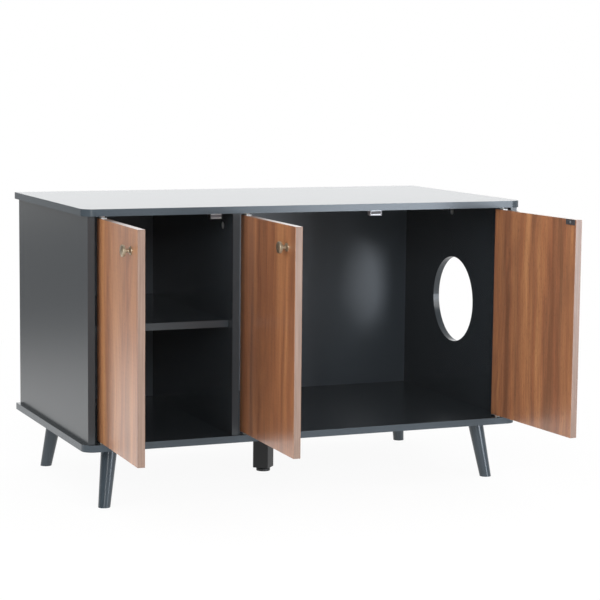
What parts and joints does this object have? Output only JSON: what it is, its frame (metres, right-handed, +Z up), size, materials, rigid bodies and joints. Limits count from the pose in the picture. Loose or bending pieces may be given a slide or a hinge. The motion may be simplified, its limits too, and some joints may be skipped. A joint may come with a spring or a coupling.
{
  "type": "cat litter box cabinet",
  "caption": "Low cabinet that hides a litter box: walnut-look doors on upright pins, a shelf bay, a round cat entrance in the side, splayed legs and a levelling centre post.",
  "frame": {"origin": "on the floor under the middle of the top panel, which is the underside of the levelling foot under the centre post", "axes": "+X to the right, +Z up, the doors face -Y; doors stand open as at rest"},
  "size_m": [1.02, 0.846, 0.633],
  "materials": {
    "charcoal_board": "charcoal melamine on particle board, satin",
    "walnut_board": "walnut-look melamine on particle board, grain upright, satin",
    "back_board": "thin charcoal hardboard, satin",
    "painted_leg": "turned wood, satin grey paint",
    "painted_post": "squared wood, dark satin paint",
    "beech": "bare beech",
    "zinc_steel": "zinc-plated steel",
    "dark_steel": "dark stamped steel",
    "antique_brass": "antique brass, darkened and lacquered",
    "pale_nylon": "natural nylon",
    "black_plastic": "black moulded plastic",
    "grey_plastic": "light grey moulded plastic",
    "ferrite": "grey ferrite block"
  },
  "bodies": {
    "carcass": {"top_panel": "charcoal_board", "bottom_panel": "charcoal_board", "left_side_panel": "charcoal_board", "divider_panel": "charcoal_board", "right_side_panel": "charcoal_board", "shelf": "charcoal_board", "back_panel_left": "back_board", "back_panel_right": "back_board", "shelf_pins": "zinc_steel", "cam_discs": "zinc_steel", "cam_bolts": "zinc_steel", "dowels": "beech", "base_screws": "zinc_steel", "front_left_leg": "painted_leg", "front_right_leg": "painted_leg", "back_left_leg": "painted_leg", "back_right_leg": "painted_leg", "leg_bolts": "zinc_steel", "leg_inserts": "zinc_steel", "centre_post": "painted_post", "centre_post_bolt": "zinc_steel", "centre_post_insert": "zinc_steel", "pivot_bushings": "pale_nylon", "catch_left_case": "black_plastic", "catch_centre_case": "grey_plastic", "catch_left_magnet": "ferrite", "catch_centre_magnet": "ferrite", "catch_left_poles": "zinc_steel", "catch_centre_poles": "zinc_steel", "catch_screws": "zinc_steel"},
    "foot_base": {"foot_base": "black_plastic"},
    "foot_stem": {"foot_stem": "zinc_steel"},
    "door_left": {"door_left_panel": "walnut_board", "door_left_pivot_plates": "zinc_steel", "door_left_pivot_washers": "pale_nylon", "door_left_pivot_screws": "zinc_steel", "door_left_knob": "antique_brass", "door_left_knob_stud": "zinc_steel", "door_left_strike_plate": "dark_steel", "door_left_strike_screw": "zinc_steel"},
    "door_middle": {"door_middle_panel": "walnut_board", "door_middle_pivot_plates": "zinc_steel", "door_middle_pivot_washers": "pale_nylon", "door_middle_pivot_screws": "zinc_steel", "door_middle_knob": "antique_brass", "door_middle_knob_stud": "zinc_steel", "door_middle_strike_plate": "dark_steel", "door_middle_strike_screw": "zinc_steel"},
    "door_right": {"door_right_panel": "walnut_board", "door_right_pivot_plates": "zinc_steel", "door_right_pivot_washers": "pale_nylon", "door_right_pivot_screws": "zinc_steel", "door_right_knob": "antique_brass", "door_right_knob_stud": "zinc_steel", "door_right_strike_plate": "dark_steel", "door_right_strike_screw": "zinc_steel"}
  },
  "joints": [
    {"name": "door_left_swing", "type": "hinge", "parent": "carcass", "child": "door_left", "pos_m": [-0.4663, -0.263, 0.38], "axis": [0, 0, 1], "range_deg": [-18.3, 91.7]},
    {"name": "door_middle_swing", "type": "hinge", "parent": "carcass", "child": "door_middle", "pos_m": [-0.1473, -0.263, 0.38], "axis": [0, 0, 1], "range_deg": [-18.5, 91.5]},
    {"name": "door_right_swing", "type": "hinge", "parent": "carcass", "child": "door_right", "pos_m": [0.4663, -0.263, 0.38], "axis": [0, 0, 1], "range_deg": [-93.2, 16.8]},
    {"name": "foot_rise", "type": "slide", "parent": "carcass", "child": "foot_base", "axis": [0, 0, 1], "range_m": [0, 0.0015]},
    {"name": "foot_turn", "type": "hinge", "parent": "foot_base", "child": "foot_stem", "pos_m": [0, 0, 0.0255], "axis": [0, 0, 1], "range_deg": [0, 432]}
  ],
  "couplings": [
    {"joint": "foot_turn", "follows": "foot_rise", "rad_per_m": 5026.5}
  ]
}
